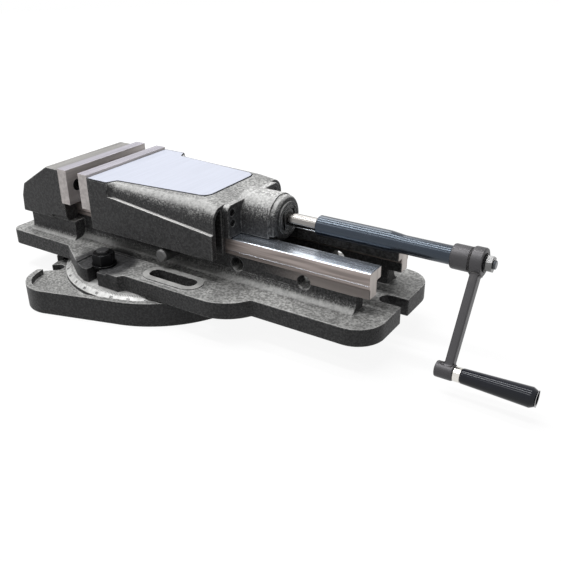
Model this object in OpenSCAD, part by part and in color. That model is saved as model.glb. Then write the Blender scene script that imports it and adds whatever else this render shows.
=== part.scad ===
// Hydraulic machine vise on a swivel base: a fixed and a moving jaw on a cast bed, closed by a
// booster spindle with a crank. The origin is on the swivel axis, at the foot of the swivel base.
// +X runs from the fixed jaw to the crank, +Z is up, and the vise is symmetrical about Y = 0.

/* [Jaws] */
// Width of the ground jaw plates
jaw_w = 160; // [140:1:200]
// Height of the jaw plates
jaw_h = 51; // [49:1:70]
// Thickness of a jaw plate
plate_t = 17; // [15:1:25]
// Opening between the jaw plates as drawn
opening = 24; // [2:1:100]
// Widest opening at one place of the cross pin
max_opening = 110; // [105:1:130]
// Distance from the fixed plate's face to the swivel axis
face_to_pivot = 101; // [90:1:115]
// Length of the fixed jaw behind its plate
fixed_jaw_l = 93; // [80:1:110]
// Height of the jaw plates above the rails
plate_lift = 3; // [2:0.5:6]
// Height of the jaw plates above the jaw castings
plate_proud = 3.5; // [2:0.5:5]

/* [Bed] */
// Length of the bed over its flange
bed_l = 607; // [590:1:680]
// Width of the bed's flange where it is straight
bed_w = 181; // [172:1:200]
// Width of the bed over its clamping lugs
lug_w = 260; // [250:1:280]
// Thickness of the flange
flange_t = 23; // [18:1:28]
// Height from the flange to the top of the rails
rail_h = 54.5; // [52:0.5:60]
// Width of a rail
rail_w = 29.5; // [26:0.5:34]
// Width of the channel between the rails
channel_w = 48; // [44:1:54]
// Distance between the cross pin's holes
hole_pitch = 100; // [70:1:105]
// Diameter of the cross pin
pin_d = 18; // [14:1:20]
// Width of the clamping slots
slot_w = 18; // [14:1:20]

/* [Swivel base] */
// Height of the swivel base
base_h = 35.5; // [32:0.5:44]
// Diameter of the swivel base's rim
base_d = 310; // [302:1:330]
// Diameter of the round table that the bed turns on
table_d = 270; // [262:1:276]
// Diameter of the circle that the clamping bolts travel on
ring_d = 214; // [208:1:220]
// Reach of a base ear's tip circle from the swivel axis
ear_reach = 202; // [195:1:215]
// Diameter of the swivel pivot
pivot_d = 50; // [40:1:60]

/* [Spindle] */
// Height of the spindle's axis above the rails
axis_lift = 21; // [21:0.5:24]
// Diameter of the booster spindle
spindle_d = 30; // [24:1:32]
// Diameter of the bright drive rod
rod_d = 16.6; // [12:0.2:18]
// Diameter of the blued sleeve
sleeve_d = 26; // [22:0.5:34]
// Length of the blued sleeve and its thin tube together
sleeve_l = 173; // [130:1:220]
// Length of bright rod left between the gland and the sleeve
rod_gap = 44; // [20:1:80]

/* [Crank] */
// Distance from the spindle's axis to the grip's axis
crank_l = 125; // [90:1:127]
// Angle of the crank from straight down towards the near side
crank_angle = 32; // [-45:1:60]
// Length of the grip
grip_l = 81; // [60:1:120]
// Diameter of the grip at its thick end
grip_d = 22.6; // [20:0.2:30]

/* [Hidden] */
$fn = 96;
hull_fn = 32;
cut = 2;
run_gap = 0.05;
slide_gap = 0.15;
side_gap = 0.4;
seat_gap = 0.1;

// Heights
flange_z = base_h + flange_t;
rail_z = flange_z + rail_h;
plate_z0 = rail_z + plate_lift;
plate_z1 = plate_z0 + jaw_h;
jaw_z = plate_z1 - plate_proud;
axis_z = rail_z + axis_lift;
skirt_share = 0.42;
skirt_z = rail_z - skirt_share * rail_h;

// Places along the bed
fixed_face_x = -face_to_pivot;
fixed_front_x = fixed_face_x - plate_t;
fixed_back_x = fixed_front_x - fixed_jaw_l;
bed_lead = 18;
bed_x0 = fixed_back_x - bed_lead;
bed_x1 = bed_x0 + bed_l;
rail_lead_share = 0.1;
rail_x0 = fixed_back_x + rail_lead_share * fixed_jaw_l;
rail_setback = 22;
rail_x1 = bed_x1 - rail_setback;
moving_face_x = fixed_face_x + opening;
front_x = moving_face_x + plate_t;
front_wall = 19;
cavity_x = front_x + front_wall;
travel_gap = 1;
nut_l = 42;
nut_x0 = fixed_face_x + max_opening + plate_t + front_wall + travel_gap;
nut_x = nut_x0 + nut_l / 2;
jaw_tail = 40;
jaw_l = front_wall + max_opening + travel_gap + nut_l + jaw_tail;
jaw_rear_x = front_x + jaw_l;

// Bed
rail_in = channel_w / 2;
rail_out = rail_in + rail_w;
lip_h = 15;
lip_w = 10;
wall_in = rail_in + lip_w;
wall_inset = 2;
band_inset = 0.6;
band_h = 15.5;
lower_band_h = 21;
block_h = 34;
bevel_h = 4;
bevel_w = 2;
wall_fillet = 14;
front_corner = 13;
rear_corner = 37;
foot_back = 17;
plinth_h = 28;
plinth_w = 140;
plinth_l = fixed_jaw_l;
plinth_fillet = 9;
pin_z = rail_z - block_h;
end_slot_w = 21;
end_slot_l = 33;
front_slot_l = 17;
lug_slot_share = 0.165;
lug_slot_x = -lug_slot_share * ring_d / 2;
lug_y = lug_w / 2;
bolt_y = sqrt(pow(ring_d / 2, 2) - pow(lug_slot_x, 2));
oval_x = 97;
oval_l = 74;
oval_w = 20;
oval_rim = 9;
oval_h = 2.5;
oval_y = 96;
bulge_y = lug_y - 8;
bulge_r = 60;
bulge_x = 163;
// Sunk seat round each clamping nut
seat_drop = 3;
seat_l = 60.5;
seat_back = 34.5;
seat_in = 72;
seat_z = flange_z - seat_drop;
lug_x0 = -106;
lug_x1 = 28;
lug_x2 = 34;
// Places along the lug's flared edge, and how far out it has come by then
lug_edge_shares = [[0, 0], [0.7, 0.78], [1, 0.99]];
lug_flare_l = 70;

// Swivel base
base_r = base_d / 2;
table_r = table_d / 2;
scale_w = 10;
scale_drop = 5.5;
rim_w = 8;
rim_z = base_h - 1.5;
floor_z = base_h - 10.5;
ear_r = 46;
side_bite = 0.1;
ear_a = 240.6;
ear_slot_a = 221;
ear_c = ear_reach - ear_r;
ear_slot_in = table_r + scale_w + 4;
rim_gap = 22;
ring_r = ring_d / 2;
tee_w = 30;
tee_h = 12;
tee_floor = 10;
throat_w = 18;
relief_h = 6;
relief_in = 42;
relief_out = ring_r - tee_w / 2 - 5;
pivot_floor = 7;
pivot_up = 12;
edge_chamfer = 3;

// Fasteners
bolt_r = 8;
bolt_side_gap = 3;
bolt_head_w = tee_w - bolt_side_gap;
bolt_head_h = 10;
nut_af = 27;
nut_h = 15;
washer_r = 17;
washer_t = 3;
bolt_stub = 4;
plate_screw_r = 5;
plate_head_r = 8;
plate_head_h = 10;
plate_screw_l = 28;
plate_screw_shares = [-0.38, -0.24, 0.24, 0.38];
small_screw_r = 2.5;
small_head_r = 4.2;
small_head_h = 5;
jaw_bolt_r = 7;
jaw_bolt_head_r = 11;
jaw_bolt_head_h = 14;
jaw_bolt_grip = 22;
head_gap = 0.5;
key_af = 0.85;
// Where a pair of screws stands along a length
pair_shares = [0.25, 0.75];

nut_z = seat_z + washer_t + seat_gap;
plate_z = (plate_z0 + plate_z1) / 2;
housing_screw_l = 14;
hold_screw_l = 10;

// Fixed jaw. Its side profile is in shares of its length from the back, and of its height
fixed_w = jaw_w - 8;
fixed_profile_shares = [[0, 0], [0.02, 0.32], [0.1, 0.57], [0.68, 1], [1, 1], [1, 0]];
key_l = 30;
key_in = 2.5;
key_h = 6;

// Moving jaw
skirt_out = jaw_w / 2 + 1;
shoulder_out = jaw_w / 2 - 3;
head_l = 46;
head_run_out = 9;
head_x = front_x + head_l - head_run_out;
head_r = 4;
land_h = 1;
shoulder_front_r = 13;
shoulder_rear_r = 25;
// Heights of the ledge above the skirt, at its front and rear end
ledge_shares = [0.72, 0.47];
rib_front_z = skirt_z + ledge_shares[0] * (jaw_z - skirt_z);
rib_rear_z = skirt_z + ledge_shares[1] * (jaw_z - skirt_z);
land_step = 14;
land_taper = 12;
land_corner = 14;
land_back = 26;
tail_drop = 5;
// Cored pocket on each side of the rear end
core_l = 24;
core_in = rail_out + 6;
core_wall = 5;
nut_bush_r = spindle_d / 2 + 4.5;
nut_head_r = nut_bush_r + 4.5;
nut_bite = 2.5;
roof_gap = 0.5;
cavity_w = 2 * nut_head_r + 2 * roof_gap;
cavity_z = axis_z + nut_head_r + roof_gap;
keel_w = channel_w - 2 * slide_gap;
hold_t = 6;
hold_w = 2 * wall_in - 2 * side_gap;
hold_z = rail_z - lip_h - slide_gap;
hold_rear_l = jaw_tail - 4;
hold_front_l = front_wall - 2;

// Spindle housing
flange_x_t = 9;
housing_w = 114;
housing_lift = 1;
housing_corner = 8;
boss_l = 42;
boss_r = 31;
nose_l = 9;
nose_r = 29;
boss_bore_r = 22;
house_x1 = jaw_rear_x + flange_x_t;
boss_x1 = house_x1 + boss_l;
nose_x1 = boss_x1 + nose_l;
gland_proud = 2;
gland_l = 10;
gland_x1 = nose_x1 + gland_proud;
gland_x0 = gland_x1 - gland_l;
gland_groove = 1.2;
gland_groove_w = 2;
gland_groove_shares = [0.55, 0.78];
gland_rod_gap = 0.3;
spanner_d = 2.6;
spanner_share = 0.71;
housing_screw_y = 48;
housing_screw_lifts = [-1, 13];

// Spindle
spindle_r = spindle_d / 2;
rod_r = rod_d / 2;
pad_t = 8;
pad_r = 13;
float_gap = 1.5;
spindle_x0 = cavity_x + 3;
collar_r = boss_bore_r - 2;
collar_l = gland_x0 - house_x1 - 4;
collar_x1 = gland_x0 - side_gap;
collar_x0 = collar_x1 - collar_l;
cylinder_share = 0.66;
cylinder_r = cylinder_share * spindle_r;
cylinder_l = 28;
piston_l = 24;
piston_x0 = cavity_x + float_gap;
seal_w = 3;
seal_h = 2;
plunger_share = 0.27;
plunger_r = plunger_share * spindle_r;
gallery_l = 50;
plunger_l = 53;
plunger_head_l = 6;
plunger_back = 2;
plunger_seal_h = 1;
gallery_x1 = spindle_x0 + cylinder_l + gallery_l;
rod_bore_r = rod_r + gland_rod_gap;
rod_x0 = gallery_x1 + 20;
plunger_x1 = rod_x0 - plunger_back;
plunger_x0 = plunger_x1 - plunger_l;
cap_l = 12;
cap_r = rod_r + 5;
sleeve_x0 = gland_x1 + rod_gap;
rod_in_sleeve = 40;
rod_x1 = sleeve_x0 + rod_in_sleeve;

// Sleeve and crank
sleeve_r = sleeve_d / 2;
tube_share = 0.85;
tube_r = tube_share * sleeve_r;
// Ends of the sleeve's thick part and of its cone, as shares of its length
thick_share = 0.555;
cone_share = 0.66;
sleeve_x1 = sleeve_x0 + sleeve_l;
sleeve_chamfer = 1.5;
journal_r = 7;
stud_r = 5;
hub_l = 23;
hub_r = 14.5;
hub_neck = 1.5;
eye_l = 14;
eye_r = 16.5;
eye_x0 = sleeve_x1 + hub_l;
eye_x1 = eye_x0 + eye_l;
arm_t = 10;
arm_w0 = 15.4;
arm_w1 = 13;
crank_boss_r = 9.3;
crank_boss_l = 21;
crank_washer_r = 11;
crank_washer_t = 1.6;
crank_nut_af = 17;
crank_nut_h = 7.5;
ferrule_r = 8.4;
ferrule_l = 8;
grip_gap = 0.3;
grip_r0 = 8.6;
grip_dome = 6;
grip_pin_r = 5;
pin_head_r = 7.5;
pin_head_l = 4;
pin_head_gap = 0.3;
ferrule_x0 = eye_x1 + grip_gap;
grip_x0 = ferrule_x0 + ferrule_l;
grip_x1 = grip_x0 + grip_l;

// Cross pin
pin_r = pin_d / 2;
pin_out = 33;
pin_chamfer = 2;

GRAPHITE = [0.27, 0.27, 0.28];
STEEL = [0.78, 0.75, 0.75];
BLUED = [0.10, 0.12, 0.18];
BLACK = [0.07, 0.07, 0.08];

// A cylinder along X from x0 to x1, about the spindle's axis
module turned(x0, x1, r, r_end = undef) {
    translate([x0, 0, axis_z]) rotate([0, 90, 0])
        cylinder(h = x1 - x0, r1 = r, r2 = is_undef(r_end) ? r : r_end);
}

// A block centred on Y = 0
module block(x0, x1, w, z0, z1) {
    translate([x0, -w / 2, z0]) cube([x1 - x0, w, z1 - z0]);
}

// A flat outline in X and Z, as wide as w about Y = 0
module side_profile(w) {
    translate([0, w / 2, 0]) rotate([90, 0, 0]) linear_extrude(w) children();
}

// The same on both sides of Y = 0
module both_sides() {
    children();
    mirror([0, 1, 0]) children();
}

// A slot with round ends along X
module oblong(l, w) {
    square([l - w, w], center = true);
    for (s = [-1, 1]) translate([s * (l - w) / 2, 0]) circle(d = w);
}

// A rectangle whose corner at its far end is an arc
module round_corner(x, y, r) {
    translate([x - r, y - r]) circle(r);
}

// A socket head cap screw along +Z, its head's top at 0 and its shank running down
module cap_screw(r, l, head_r, head_h) {
    difference() {
        union() {
            translate([0, 0, -head_h]) cylinder(h = head_h, r = head_r);
            translate([0, 0, -head_h - l]) cylinder(h = l, r = r);
        }
        translate([0, 0, -head_h / 2]) cylinder(h = head_h, r = key_af * r, $fn = 6);
    }
}

// The holes that a cap screw needs, open at the top
module cap_screw_cut(r, l, head_r, head_h) {
    translate([0, 0, -head_h]) cylinder(h = head_h + cut, r = head_r + head_gap);
    translate([0, 0, -head_h - l]) cylinder(h = l + cut, r = r);
}

// Plan of the swivel base: a disc with two ears drawn out to tip circles by straight sides
module base_plan(inset) {
    r = base_r - inset;
    tip = ear_r - inset;
    a = acos((base_r - ear_r) / ear_c);
    root = (r - side_bite) * [cos(a), sin(a)];
    end = [ear_c, 0] + (tip - side_bite) * [cos(a), sin(a)];
    circle(r);
    for (side = [0, 180]) rotate(ear_a + side) {
        translate([ear_c, 0]) circle(tip);
        polygon([root, [0, 0], [root[0], -root[1]], [end[0], -end[1]], end]);
    }
}

module ear_slots() {
    for (side = [0, 180]) rotate(ear_slot_a + side)
        translate([0, 0, -cut]) linear_extrude(base_h + 2 * cut) {
            translate([ear_slot_in + slot_w / 2, 0]) circle(d = slot_w);
            translate([ear_slot_in + slot_w / 2, -slot_w / 2]) square([ear_reach, slot_w]);
        }
}

// Plan of the sunk floor inside the rim, which runs out through the rim at each ear's slot
module floor_plan() {
    base_plan(rim_w);
    for (side = [0, 180]) rotate(ear_slot_a + side)
        translate([ear_slot_in, -rim_gap]) square([ear_reach, 2 * rim_gap]);
}

module swivel_base() {
    color(GRAPHITE) difference() {
        union() {
            difference() {
                linear_extrude(rim_z) base_plan(0);
                translate([0, 0, floor_z]) linear_extrude(base_h) floor_plan();
            }
            cylinder(h = base_h - scale_drop, r = table_r + scale_w);
            translate([0, 0, base_h - scale_drop])
                cylinder(h = scale_drop, r1 = table_r + scale_w, r2 = table_r);
        }
        ear_slots();
        translate([0, 0, tee_floor]) rotate_extrude()
            translate([ring_r - tee_w / 2, 0]) square([tee_w, tee_h]);
        rotate_extrude() translate([ring_r - throat_w / 2, tee_floor]) square([throat_w, base_h]);
        translate([-ring_r, 0, tee_floor]) cylinder(h = base_h, d = tee_w);
        translate([0, 0, pivot_floor]) cylinder(h = base_h, r = pivot_d / 2 + run_gap);
        translate([0, 0, -cut]) rotate_extrude()
            translate([relief_in, 0]) square([relief_out - relief_in, relief_h + cut]);
    }
}

module swivel_pivot() {
    color(STEEL) translate([0, 0, pivot_floor + seat_gap])
        cylinder(h = base_h + pivot_up - pivot_floor - seat_gap, d = pivot_d);
}

// Edge of one lug, from where it leaves the straight flange to where it ends
module lug_plan() {
    flare = lug_y - bed_w / 2;
    polygon(concat(
        [for (s = lug_edge_shares) [lug_x0 + s[0] * lug_flare_l, bed_w / 2 + s[1] * flare]],
        [[lug_x1, lug_y], [lug_x2, bulge_y], [bulge_x, bulge_y], [bulge_x, 0], [lug_x0, 0]]));
    translate([bulge_x, bulge_y - bulge_r]) circle(bulge_r);
}

module bed_plan() {
    difference() {
        union() {
            translate([bed_x0 + front_corner, -bed_w / 2])
                square([bed_l - front_corner - rear_corner, bed_w]);
            translate([bed_x0, front_corner - bed_w / 2])
                square([2 * front_corner, bed_w - 2 * front_corner]);
            translate([bed_x1 - 2 * rear_corner, rear_corner - bed_w / 2])
                square([2 * rear_corner, bed_w - 2 * rear_corner]);
            both_sides() {
                translate([bed_x0 + front_corner, bed_w / 2 - front_corner]) circle(front_corner);
                round_corner(bed_x1, bed_w / 2, rear_corner);
                lug_plan();
            }
        }
        translate([bed_x1, 0]) oblong(2 * end_slot_l, end_slot_w);
        translate([bed_x0, 0]) oblong(2 * front_slot_l, end_slot_w);
        both_sides() {
            translate([lug_slot_x, lug_y]) rotate(90) oblong(2 * (lug_y - bolt_y) + slot_w, slot_w);
            translate([oval_x, oval_y]) oblong(oval_l, oval_w);
        }
    }
}

// Section of the rail and wall on the far side, in Y and Z
module rail_section() {
    polygon([[rail_in, rail_z], [rail_in, rail_z - lip_h], [wall_in, rail_z - lip_h],
        [wall_in, rail_z - block_h], [rail_out - wall_inset, rail_z - block_h],
        [rail_out - wall_inset, rail_z - lower_band_h], [rail_out - band_inset, rail_z - lower_band_h],
        [rail_out - band_inset, rail_z - band_h - band_inset], [rail_out, rail_z - band_h],
        [rail_out, rail_z - bevel_h], [rail_out - bevel_w, rail_z]]);
}

// Fillet between the flange and a wall that stands on it at y
module foot_fillet(y, r) {
    difference() {
        translate([y - cut, flange_z - cut]) square(r + cut);
        translate([y + r, flange_z + r]) circle(r);
    }
}

module wall_section() {
    out = rail_out - wall_inset;
    translate([wall_in, flange_z - cut])
        square([out - wall_in, rail_z - block_h + cut - flange_z + band_inset]);
    foot_fillet(out, wall_fillet);
}

// Sweeps a section in Y and Z along the bed
module along_bed(x0, x1) {
    translate([x0, 0, 0]) rotate([90, 0, 90]) linear_extrude(x1 - x0) children();
}

module vise_bed() {
    color(GRAPHITE) difference() {
        union() {
            translate([0, 0, base_h]) linear_extrude(flange_t) bed_plan();
            both_sides() {
                along_bed(rail_x0, rail_x1) rail_section();
                along_bed(rail_x0, rail_x1 - foot_back) wall_section();
                translate([oval_x, oval_y, flange_z]) linear_extrude(oval_h) difference() {
                    oblong(oval_l + 2 * oval_rim, oval_w + 2 * oval_rim);
                    oblong(oval_l, oval_w);
                }
                translate([rail_x0, wall_in, flange_z - cut])
                    cube([plinth_l, plinth_w / 2 - wall_in, plinth_h + cut]);
                along_bed(rail_x0, rail_x0 + plinth_l) foot_fillet(plinth_w / 2, plinth_fillet);
            }
            block(rail_x0, rail_x0 + plinth_l / 2, channel_w + rail_w, flange_z - cut, rail_z - lip_h);
        }
        for (i = [0:2]) translate([nut_x + i * hole_pitch, bed_w / 2, pin_z])
            rotate([90, 0, 0]) cylinder(h = bed_w, r = pin_r + run_gap);
        translate([0, 0, base_h - cut]) cylinder(h = pivot_up + cut, d = pivot_d);
        both_sides() translate([lug_slot_x - seat_back, seat_in, seat_z])
            cube([seat_l, lug_y, seat_drop + cut]);
        for (p = jaw_bolt_places()) translate([p[0], p[1], base_h]) mirror([0, 0, 1])
            cap_screw_cut(jaw_bolt_r, rail_z - base_h, jaw_bolt_head_r, jaw_bolt_head_h);
    }
}

function jaw_bolt_places() = [for (x = pair_shares, s = [-1, 1])
    [rail_x0 + x * plinth_l, s * (wall_in + rail_out - wall_inset) / 2]];

module swivel_bolts() {
    color(BLACK) both_sides() translate([lug_slot_x, bolt_y, 0]) {
        translate([0, 0, tee_floor + tee_h - seat_gap - bolt_head_h / 2])
            rotate(atan2(bolt_y, lug_slot_x))
                cube([bolt_head_w, bolt_head_w, bolt_head_h], center = true);
        translate([0, 0, tee_floor + tee_h - seat_gap - bolt_head_h / 2])
            cylinder(h = nut_z + nut_h + bolt_stub - tee_floor - tee_h + bolt_head_h / 2, r = bolt_r);
    }
}

module swivel_washers() {
    color(BLACK) both_sides() translate([lug_slot_x, bolt_y, seat_z]) difference() {
        cylinder(h = washer_t, r = washer_r);
        translate([0, 0, -cut]) cylinder(h = washer_t + 2 * cut, r = bolt_r + side_gap);
    }
}

module swivel_nut() {
    color(BLACK) translate([lug_slot_x, bolt_y, nut_z]) difference() {
        intersection() {
            cylinder(h = nut_h, d = nut_af / cos(30), $fn = 6);
            cylinder(h = nut_h, r1 = nut_af / 2 + nut_h, r2 = nut_af / 2);
            cylinder(h = nut_h, r = nut_af / cos(30) / 2 - seat_gap);
        }
        translate([0, 0, -cut]) cylinder(h = nut_h + 2 * cut, r = bolt_r + run_gap);
    }
}

module swivel_nut_near() {
    mirror([0, 1, 0]) swivel_nut();
}

module swivel_nut_far() {
    swivel_nut();
}

module fixed_jaw() {
    z0 = flange_z + plinth_h;
    color(GRAPHITE) difference() {
        side_profile(fixed_w) polygon([for (s = fixed_profile_shares)
            [fixed_back_x + s[0] * fixed_jaw_l, z0 + s[1] * (jaw_z - z0)]]);
        block(rail_x0 - cut, fixed_front_x + cut, 2 * rail_out, z0 - cut, rail_z);
        both_sides() translate([fixed_front_x - key_l, fixed_w / 2 - key_in, z0 - cut])
            cube([key_l + cut, key_in + cut, key_h + cut]);
        plate_holes(fixed_front_x, 1);
        for (p = jaw_bolt_places()) translate([p[0], p[1], rail_z - cut])
            cylinder(h = jaw_bolt_grip + cut, r = jaw_bolt_r);
    }
}

module fixed_jaw_bolts() {
    color(BLACK) for (p = jaw_bolt_places()) translate([p[0], p[1], base_h]) mirror([0, 0, 1])
        cap_screw(jaw_bolt_r, rail_z + jaw_bolt_grip - base_h - jaw_bolt_head_h - side_gap,
            jaw_bolt_head_r, jaw_bolt_head_h);
}

// Blank holes for the plate screws: they run from the plate's back into the casting
module plate_holes(x, side) {
    for (s = plate_screw_shares) translate([x, s * jaw_w, plate_z]) rotate([0, -side * 90, 0])
        cylinder(h = plate_screw_l - plate_t + side_gap, r = plate_screw_r);
}

module jaw_plate(x0, side) {
    color(STEEL) difference() {
        translate([x0 + plate_t / 2, 0, plate_z]) cube([plate_t, jaw_w, jaw_h], center = true);
        for (s = plate_screw_shares)
            translate([side > 0 ? x0 + plate_t : x0, s * jaw_w, plate_z])
                rotate([0, side * 90, 0])
                    cap_screw_cut(plate_screw_r + side_gap, plate_t + cut, plate_head_r, plate_head_h);
    }
}

module plate_screws(x, side) {
    color(BLACK) for (s = plate_screw_shares) translate([x, s * jaw_w, plate_z])
        rotate([0, side * 90, 0]) cap_screw(plate_screw_r, plate_screw_l - plate_head_h,
            plate_head_r, plate_head_h);
}

module fixed_jaw_plate() {
    jaw_plate(fixed_front_x, 1);
}

module fixed_plate_screws() {
    plate_screws(fixed_face_x, 1);
}

module moving_jaw_plate() {
    jaw_plate(moving_face_x, -1);
}

module moving_plate_screws() {
    plate_screws(moving_face_x, -1);
}

// The block that holds the spindle's nut, pinned in the channel of the bed
module nut_block() {
    foot_z1 = hold_z - hold_t - side_gap;
    color(GRAPHITE) difference() {
        union() {
            block(nut_x0, nut_x0 + nut_l, 2 * wall_in - 2 * side_gap, flange_z + side_gap, foot_z1);
            block(nut_x0, nut_x0 + nut_l, keel_w - 2 * side_gap, flange_z + side_gap, axis_z);
            turned(nut_x0, nut_x0 + nut_l, nut_head_r);
        }
        turned(nut_x0 - cut, nut_x0 + nut_l + cut, nut_bush_r);
        translate([nut_x, bed_w / 2, pin_z]) rotate([90, 0, 0]) cylinder(h = bed_w, r = pin_r + run_gap);
        nut_screw_places() cylinder(h = nut_head_r + cut, r = small_screw_r);
    }
}

module nut_screw_places() {
    for (s = [-1, 1]) translate([nut_x + s * nut_l / 4, 0, axis_z]) children();
}

module spindle_nut() {
    color([0.72, 0.55, 0.30]) difference() {
        turned(nut_x0, nut_x0 + nut_l, nut_bush_r);
        turned(nut_x0 - cut, nut_x0 + nut_l + cut, spindle_r + run_gap);
        nut_screw_places() translate([0, 0, nut_bush_r - nut_bite])
            cylinder(h = nut_bite + cut, r = small_screw_r);
    }
}

module nut_screws() {
    color(BLACK) nut_screw_places() translate([0, 0, nut_bush_r - nut_bite]) difference() {
        cylinder(h = nut_head_r - nut_bush_r + nut_bite - side_gap, r = small_screw_r);
        translate([0, 0, nut_bite]) cylinder(h = nut_head_r, r = small_screw_r / 2, $fn = 6);
    }
}

module locating_pin() {
    l = rail_out - wall_inset;
    color(STEEL) translate([nut_x, l, pin_z]) rotate([90, 0, 0]) {
        cylinder(h = 2 * l + pin_out - pin_chamfer, r = pin_r);
        translate([0, 0, 2 * l + pin_out - pin_chamfer])
            cylinder(h = pin_chamfer, r1 = pin_r, r2 = pin_r - pin_chamfer);
    }
}

// Section of the moving jaw's shoulders: walls that round over to the top
module shoulder_section(out, r, z0, z1) {
    for (s = [-1, 1]) translate([s * (out - r), z1 - r]) circle(r, $fn = hull_fn);
    translate([-out, z0]) square([2 * out, z1 - r - z0]);
    translate([r - out, z0]) square([2 * (out - r), z1 - z0]);
}

module shoulder_slice(x, out, r, z1) {
    along_bed(x, x + seat_gap) shoulder_section(out, r, skirt_z, z1);
}

// Outline of the ground land on top of the moving jaw
module land_plan() {
    x0 = front_x;
    x1 = head_x + land_step / 2;
    x2 = jaw_rear_x - land_back;
    y1 = jaw_w / 2 - land_step;
    y2 = y1 - land_taper;
    polygon([[x0, -jaw_w / 2], [head_x, -jaw_w / 2], [x1, -y1], [x2 - land_corner, -y2],
        [x2, land_corner - y2], [x2, y2 - land_corner], [x2 - land_corner, y2], [x1, y1],
        [head_x, jaw_w / 2], [x0, jaw_w / 2]]);
    for (s = [-1, 1]) translate([x2 - land_corner, s * (y2 - land_corner)]) circle(land_corner);
}

module moving_jaw() {
    top = jaw_z - land_h;
    bore_l = jaw_tail - land_back / 2;
    tail_r = shoulder_rear_r - tail_drop;
    color(GRAPHITE) difference() {
        union() {
            block(front_x, head_x, 2 * skirt_out, skirt_z, top);
            both_sides() translate([0, skirt_out, 0]) rotate([90, 0, 0])
                linear_extrude(skirt_out - rail_out) polygon([[head_x - cut, skirt_z],
                    [jaw_rear_x, skirt_z], [jaw_rear_x, rib_rear_z],
                    [front_x + head_l, rib_front_z], [head_x - cut, rib_front_z]]);
            hull() {
                shoulder_slice(head_x - seat_gap, skirt_out - side_bite, head_r, top);
                shoulder_slice(front_x + head_l, shoulder_out, shoulder_front_r, top);
            }
            hull() {
                shoulder_slice(front_x + head_l, shoulder_out, shoulder_front_r, top);
                shoulder_slice(jaw_rear_x - land_back, shoulder_out, shoulder_rear_r, top);
            }
            hull() {
                shoulder_slice(jaw_rear_x - land_back, shoulder_out, shoulder_rear_r, top);
                shoulder_slice(jaw_rear_x - seat_gap, shoulder_out, tail_r, top - tail_drop);
            }
            translate([0, 0, top - cut]) linear_extrude(land_h + cut) land_plan();
        }
        both_sides() translate([front_x - cut, keel_w / 2, skirt_z - cut])
            cube([jaw_l + 2 * cut, rail_out + slide_gap - keel_w / 2, rail_z + slide_gap + cut - skirt_z]);
        block(front_x - cut, jaw_rear_x + cut, channel_w, skirt_z - cut, hold_z);
        block(cavity_x, jaw_rear_x - hold_rear_l, channel_w, skirt_z - cut, rail_z + slide_gap);
        block(cavity_x, jaw_rear_x - bore_l, cavity_w, rail_z, axis_z);
        turned(cavity_x, jaw_rear_x - bore_l, cavity_w / 2);
        turned(jaw_rear_x - bore_l - cut, jaw_rear_x + cut, boss_bore_r);
        turned(cavity_x - pad_t, cavity_x + cut, pad_r);
        plate_holes(front_x, -1);
        both_sides() along_bed(jaw_rear_x - core_l, jaw_rear_x + cut) intersection() {
            shoulder_section(shoulder_out - core_wall, tail_r - core_wall, skirt_z - cut,
                top - tail_drop - core_wall);
            translate([core_in, skirt_z - cut]) square([skirt_out, jaw_z]);
        }
        housing_screw_places(jaw_rear_x)
            translate([0, 0, -housing_screw_l]) cylinder(h = housing_screw_l + cut, r = small_screw_r);
        hold_down_places(hold_z) translate([0, 0, -cut])
            cylinder(h = hold_screw_l + cut, r = small_screw_r);
    }
}

// Where the screws of the hold-down plates stand, at height z
module hold_down_places(z) {
    for (s = [-1, 1]) {
        translate([front_x + hold_front_l / 2, s * keel_w / 4, z]) children();
        for (i = pair_shares)
            translate([jaw_rear_x - i * hold_rear_l, s * keel_w / 4, z]) children();
    }
}

module hold_down_plates() {
    color(STEEL) difference() {
        union() {
            block(front_x + seat_gap, front_x + hold_front_l, hold_w, hold_z - hold_t, hold_z);
            block(jaw_rear_x - hold_rear_l + seat_gap, jaw_rear_x, hold_w, hold_z - hold_t, hold_z);
        }
        hold_down_places(hold_z - hold_t) mirror([0, 0, 1])
            cap_screw_cut(small_screw_r, hold_t + cut, small_head_r, small_head_h);
    }
}

module hold_down_screws() {
    color(BLACK) hold_down_places(hold_z - hold_t) mirror([0, 0, 1])
        cap_screw(small_screw_r, hold_screw_l - side_gap, small_head_r, small_head_h);
}

// Where the housing's screws stand, pointing out of the face at x
module housing_screw_places(x) {
    for (s = [-1, 1], lift = housing_screw_lifts)
        translate([x, s * housing_screw_y, axis_z + lift]) rotate([0, 90, 0]) children();
}

// The arched boss behind the moving jaw and the flange that bolts it on
module spindle_housing() {
    z0 = rail_z + housing_lift;
    flange_z1 = jaw_z - land_h - tail_drop;
    color(GRAPHITE) difference() {
        union() {
            block(jaw_rear_x, house_x1, housing_w, z0, flange_z1 - housing_corner);
            block(jaw_rear_x, house_x1, housing_w - 2 * housing_corner, z0, flange_z1);
            both_sides() translate([jaw_rear_x, housing_w / 2 - housing_corner,
                flange_z1 - housing_corner]) rotate([0, 90, 0])
                    cylinder(h = flange_x_t, r = housing_corner);
            turned(jaw_rear_x, boss_x1, boss_r);
            block(jaw_rear_x, boss_x1, 2 * (boss_r - side_bite), z0, axis_z);
            turned(boss_x1 - cut, nose_x1 - edge_chamfer, nose_r);
            turned(nose_x1 - edge_chamfer, nose_x1, nose_r, nose_r - edge_chamfer);
            block(boss_x1 - cut, nose_x1 - edge_chamfer, 2 * (nose_r - side_bite), z0 + edge_chamfer,
                axis_z);
        }
        turned(jaw_rear_x - cut, nose_x1 + cut, boss_bore_r);
        housing_screw_places(house_x1)
            cap_screw_cut(small_screw_r, flange_x_t, small_head_r, small_head_h);
    }
}

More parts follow.
